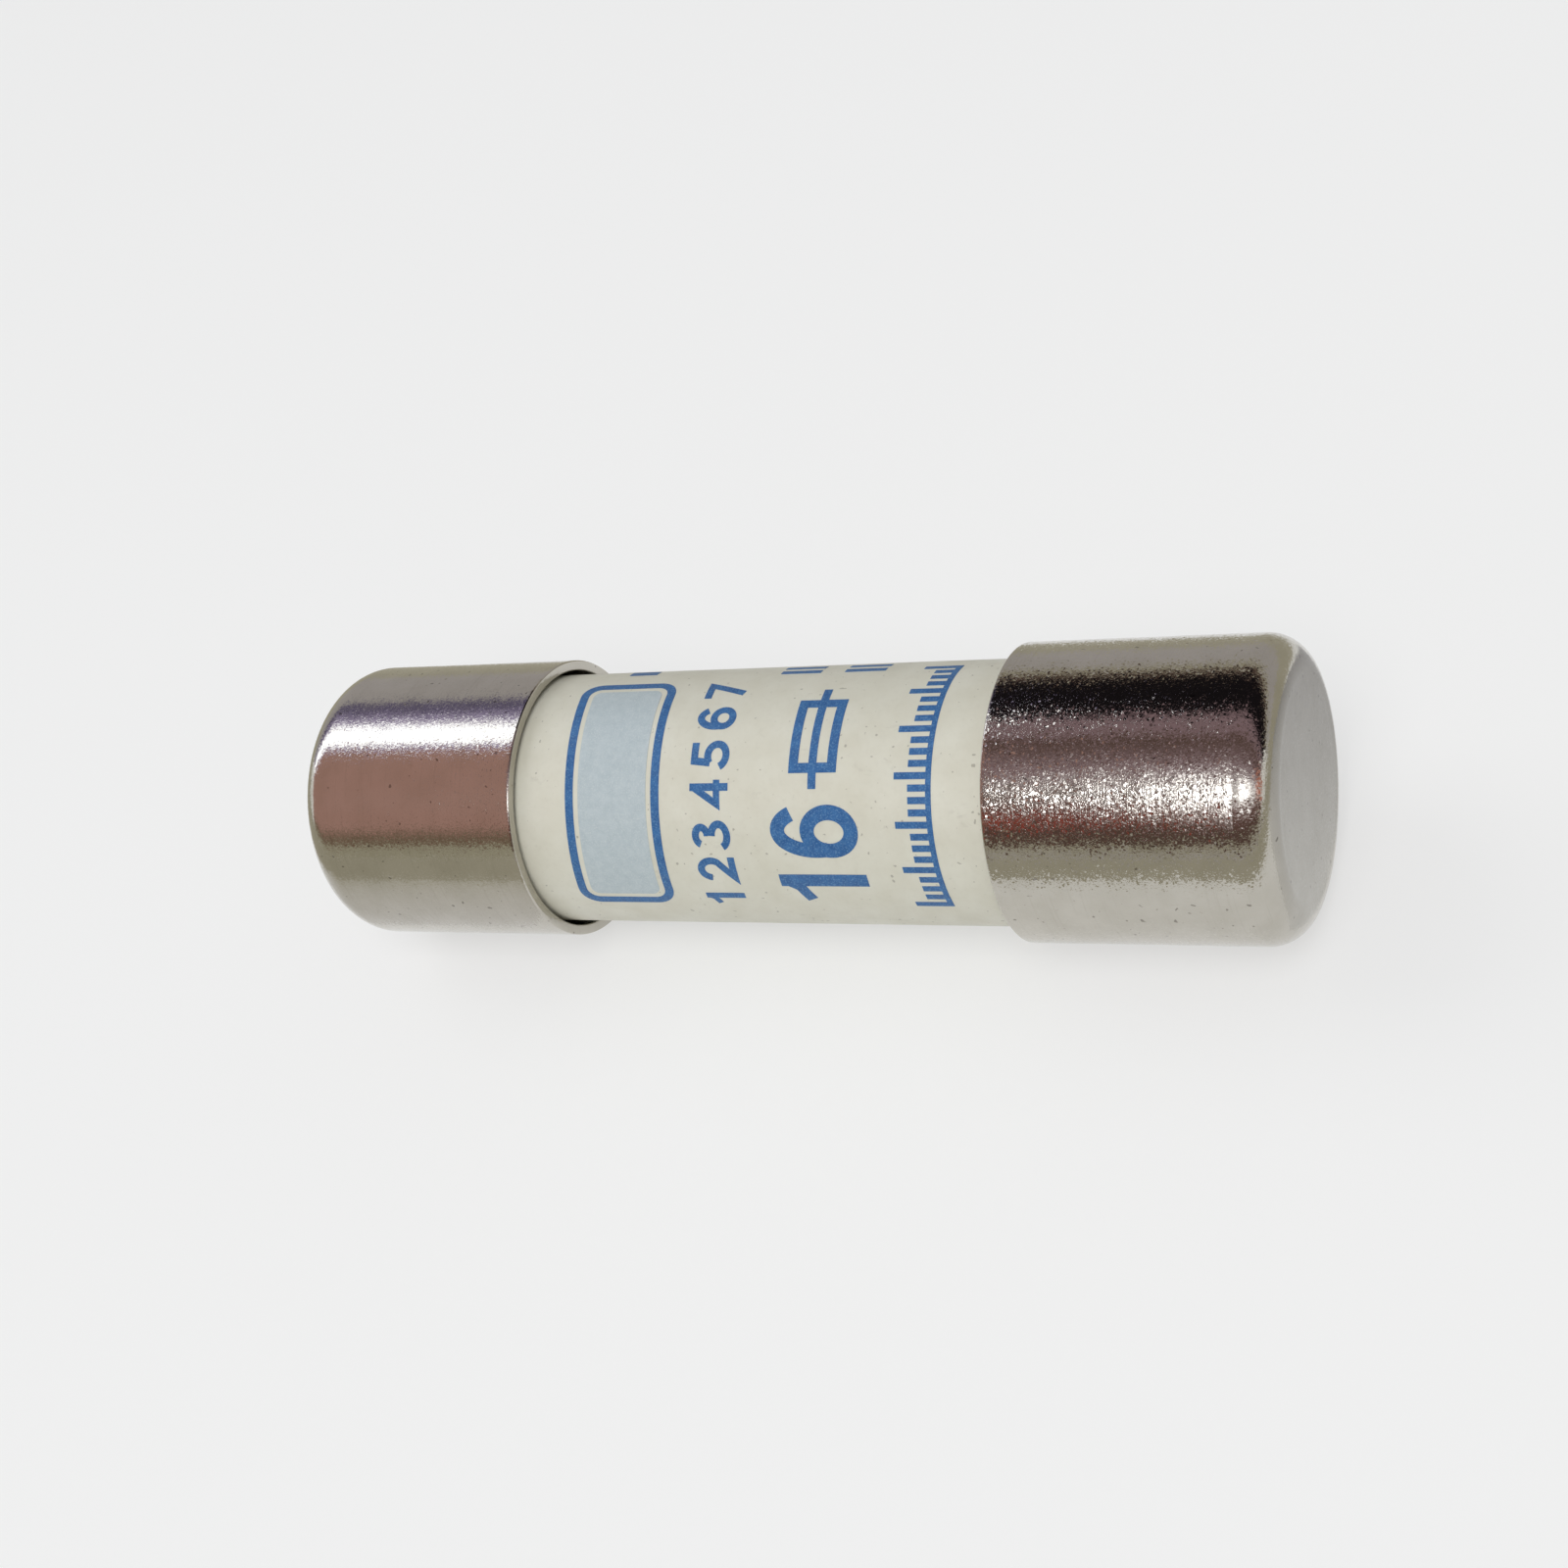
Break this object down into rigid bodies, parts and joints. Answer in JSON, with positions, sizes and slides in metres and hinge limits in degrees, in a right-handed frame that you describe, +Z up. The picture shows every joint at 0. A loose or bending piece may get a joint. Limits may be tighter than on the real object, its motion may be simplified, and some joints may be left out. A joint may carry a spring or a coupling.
{
  "type": "cartridge fuse",
  "caption": "Cylindrical cartridge fuse: a ceramic tube closed by pressed metal end caps, holding a punched silver strip in quartz sand, for clip-in fuse holders.",
  "frame": {"origin": "middle of the fuse, on its axis", "axes": "+X along the axis of the tube, from one contact cap to the other; +Z up as the fuse lies on a table"},
  "size_m": [0.0374, 0.0104, 0.0104],
  "materials": {
    "glazed_ceramic": "satin cream glaze with a blue stamped print",
    "nickel_plate": "satin-bright nickel plate on drawn brass sheet",
    "inner_cap_metal": "plain drawn brass",
    "fibre": "vulcanised fibre board",
    "silver_strip": "rolled silver strip",
    "solder": "dull tin solder",
    "quartz_sand": "compacted quartz sand"
  },
  "bodies": {
    "root": {"ceramic_tube": "glazed_ceramic", "contact_cap_left": "nickel_plate", "contact_cap_right": "nickel_plate", "inner_cap_left": "inner_cap_metal", "inner_cap_right": "inner_cap_metal", "seal_washer_left": "fibre", "seal_washer_right": "fibre", "fuse_strip": "silver_strip", "solder_joint_left": "solder", "solder_joint_right": "solder", "quartz_sand": "quartz_sand"}
  },
  "joints": []
}
